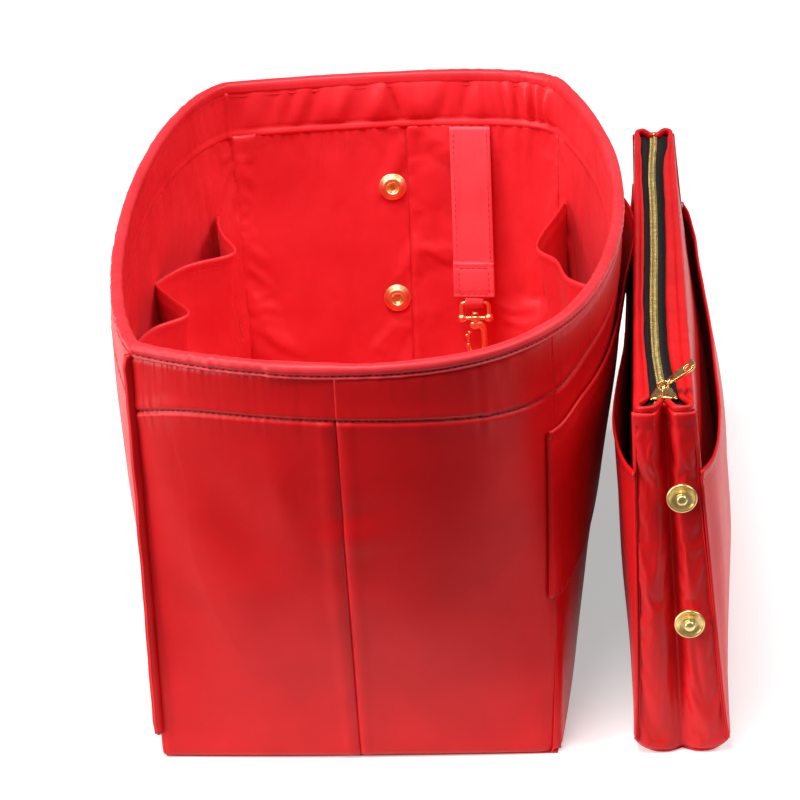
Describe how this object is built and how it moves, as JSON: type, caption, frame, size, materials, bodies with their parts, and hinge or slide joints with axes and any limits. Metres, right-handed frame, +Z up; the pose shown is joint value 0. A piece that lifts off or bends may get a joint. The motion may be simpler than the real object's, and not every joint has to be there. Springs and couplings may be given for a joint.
{
  "type": "purse organizer insert",
  "caption": "Open padded fabric organizer insert for a handbag with a bound rim, inner and outer pockets, a key clasp on a strap and a detachable zip pouch beside it.",
  "frame": {"origin": "centre of the organizer's base, on the surface that it stands on", "axes": "+Y along the organizer to the end with the key strap, +X across it to the side where the zip pouch stands, +Z up"},
  "size_m": [0.244, 0.3328, 0.168],
  "materials": {
    "satin": "red satin nylon",
    "lining": "red satin nylon lining",
    "stiffener": "felt",
    "zip_tape": "woven charcoal tape",
    "gold": "polished gold plate"
  },
  "bodies": {
    "organizer": {"bottom_shell": "satin", "base_board": "stiffener", "bottom_lining": "lining", "left_side_shell": "satin", "left_side_stiffener": "stiffener", "left_side_lining": "lining", "right_side_shell": "satin", "right_side_stiffener": "stiffener", "right_side_lining": "lining", "near_end_stiffener": "stiffener", "near_end_shell_left": "satin", "near_end_lining_left": "lining", "near_end_shell_right": "satin", "near_end_lining_right": "lining", "far_end_stiffener": "stiffener", "far_end_shell_left": "satin", "far_end_lining_left": "lining", "far_end_shell_right": "satin", "far_end_lining_right": "lining", "rim_binding": "satin", "rim_facing": "lining", "corner_welt_near_left": "satin", "corner_welt_far_left": "satin", "outer_pocket": "satin", "inner_pockets_left": "lining", "inner_pockets_right": "lining", "near_snap_socket_upper": "gold", "near_snap_socket_lower": "gold", "far_snap_socket_upper": "gold", "far_snap_socket_lower": "gold"},
    "key_strap": {"key_strap": "lining"},
    "clasp_eye": {"clasp_eye": "gold"},
    "clasp_hook": {"clasp_hook": "gold"},
    "clasp_gate": {"clasp_gate": "gold"},
    "pouch": {"pouch_panel_left": "satin", "pouch_panel_right": "satin", "pouch_gusset_near": "satin", "pouch_gusset_far": "satin", "pouch_base": "satin", "pouch_slip_pocket_left": "satin", "pouch_slip_pocket_right": "satin", "near_snap_stud_upper": "gold", "near_snap_stud_lower": "gold", "far_snap_stud_upper": "gold", "far_snap_stud_lower": "gold", "zip_lip_left": "satin", "zip_lip_right": "satin", "zip_tape_left": "zip_tape", "zip_tape_right": "zip_tape", "zip_teeth_left": "gold", "zip_teeth_right": "gold", "zip_top_stop_left": "gold", "zip_top_stop_right": "gold", "zip_bottom_stop": "gold"},
    "zip_slider": {"zip_slider": "gold"},
    "zip_puller": {"zip_puller": "gold"}
  },
  "joints": [
    {"name": "pouch_slide", "type": "slide", "parent": "organizer", "child": "pouch", "axis": [1, 0, 0], "range_m": [0, 0.15]},
    {"name": "zip_slide", "type": "slide", "parent": "pouch", "child": "zip_slider", "axis": [-0.0227, 0.9997, 0], "range_m": [0, 0.275], "deforming": ["zip_teeth_left", "zip_teeth_right"]},
    {"name": "puller_hinge", "type": "hinge", "parent": "zip_slider", "child": "zip_puller", "pos_m": [0.11664, -0.13608, 0.14415], "axis": [-0.0227, 0.9997, 0], "range_deg": [-150, 42]},
    {"name": "strap_hinge", "type": "hinge", "parent": "organizer", "child": "key_strap", "pos_m": [0.029, 0.1615, 0.141], "axis": [-1, 0, 0], "range_deg": [0, 110]},
    {"name": "eye_hinge", "type": "hinge", "parent": "key_strap", "child": "clasp_eye", "pos_m": [0.029, 0.14647, 0.0643], "axis": [-1, 0, 0], "range_deg": [-4, 80]},
    {"name": "hook_swivel", "type": "hinge", "parent": "clasp_eye", "child": "clasp_hook", "pos_m": [0.029, 0.14647, 0.0569], "axis": [0, 0, 1], "continuous": true},
    {"name": "gate_hinge", "type": "hinge", "parent": "clasp_hook", "child": "clasp_gate", "pos_m": [0.02605, 0.14647, 0.04895], "axis": [0, -1, 0], "range_deg": [0, 22], "stiffness_Nm_per_rad": 0.002}
  ]
}
